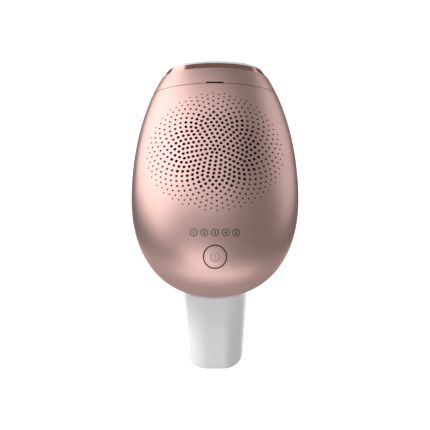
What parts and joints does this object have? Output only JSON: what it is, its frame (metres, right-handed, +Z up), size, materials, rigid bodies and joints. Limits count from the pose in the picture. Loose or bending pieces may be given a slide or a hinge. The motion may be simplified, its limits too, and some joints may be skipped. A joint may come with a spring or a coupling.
{
  "type": "ipl hair remover",
  "caption": "Gun-shaped hair removal device with an egg-shaped vented cover, lit level dial, power button, trigger grip and pull-off treatment window",
  "frame": {"origin": "middle of the grip, on its centre line", "axes": "+Z up with the grip pointing down and away; -Y towards the user who looks at the rear cover; +X across to the right"},
  "size_m": [0.084, 0.0936, 0.1601],
  "materials": {
    "rose_metal": "satin rose-gold metallic",
    "dark_trim": "satin dark brown",
    "white_plastic": "gloss white",
    "soft_white_plastic": "satin white",
    "copper_metal": "polished copper-coloured plating",
    "circuit_board": "solder mask",
    "black_plastic": "moulded",
    "grey_plastic": "moulded",
    "ceramic_white": "fired",
    "nickel": "plated",
    "steel": "zinc plated",
    "gold_contact": "plated",
    "led_white": "clear resin",
    "capacitor_sleeve": "shrink sleeve",
    "ferrite": "sintered ferrite",
    "copper_wire": "enamelled wire",
    "aluminium_bare": "extruded",
    "mirror_metal": "polished",
    "lamp_glass": "clear quartz",
    "filter_glass": "coated filter",
    "rubber_seal": "soft",
    "wire_red": "insulated wire"
  },
  "bodies": {
    "housing": {"rear_cover": "rose_metal", "button_ring": "dark_trim", "edge_trim": "dark_trim", "front_shell": "white_plastic", "handle_rear_shell": "white_plastic", "control_board": "circuit_board", "power_board": "circuit_board", "button_switch": "black_plastic", "light_shield": "black_plastic", "control_chip": "black_plastic", "trigger_switch": "black_plastic", "fan_frame": "black_plastic", "dust_screen": "black_plastic", "inlet_body": "black_plastic", "power_transistor": "black_plastic", "window_frame": "black_plastic", "inlet_bezel": "grey_plastic", "trigger_bracket": "grey_plastic", "capacitor_clamp": "grey_plastic", "lamp_holders": "ceramic_white", "inlet_pin": "nickel", "housing_screws": "steel", "fan_screws": "steel", "trigger_spring": "steel", "lamp_electrodes": "nickel", "contact_pins": "gold_contact", "fan_bearing": "gold_contact", "led_array": "led_white", "main_capacitor": "capacitor_sleeve", "transformer_core": "ferrite", "transformer_coil": "copper_wire", "choke": "copper_wire", "trigger_coil": "copper_wire", "heat_sink": "aluminium_bare", "reflector": "mirror_metal", "flash_lamp": "lamp_glass", "filter_glass": "filter_glass", "filter_gasket": "rubber_seal", "lamp_leads": "wire_red", "indicator_lens_1": "rose_metal", "indicator_lens_2": "rose_metal", "indicator_lens_3": "rose_metal", "indicator_lens_4": "rose_metal", "indicator_lens_5": "rose_metal"},
    "power_button": {"power_button": "rose_metal"},
    "trigger": {"trigger": "white_plastic"},
    "attachment": {"attachment_collar": "rose_metal", "attachment_front": "white_plastic", "attachment_base": "black_plastic", "attachment_contacts": "gold_contact", "copper_ring": "copper_metal", "attachment_rim": "white_plastic", "light_funnel": "mirror_metal"},
    "safety_ring": {"safety_ring": "soft_white_plastic"},
    "fan_rotor": {"fan_rotor": "black_plastic", "fan_shaft": "steel"}
  },
  "joints": [
    {"name": "power_button_press", "type": "slide", "parent": "housing", "child": "power_button", "axis": [0, 0.9986, -0.0526], "range_m": [0, 0.0006], "stiffness_N_per_m": 1500},
    {"name": "trigger_press", "type": "slide", "parent": "housing", "child": "trigger", "axis": [0, -0.5736, -0.8192], "range_m": [0, 0.0018], "stiffness_N_per_m": 900},
    {"name": "attachment_pull_off", "type": "slide", "parent": "housing", "child": "attachment", "axis": [0, 0.3907, 0.9205], "range_m": [0, 0.03]},
    {"name": "safety_ring_press", "type": "slide", "parent": "attachment", "child": "safety_ring", "axis": [0, -0.3907, -0.9205], "range_m": [0, 0.0011], "stiffness_N_per_m": 700},
    {"name": "fan_spin", "type": "hinge", "parent": "housing", "child": "fan_rotor", "pos_m": [0, -0.02488, 0.0752], "axis": [0, -0.9205, 0.3907], "continuous": true}
  ]
}
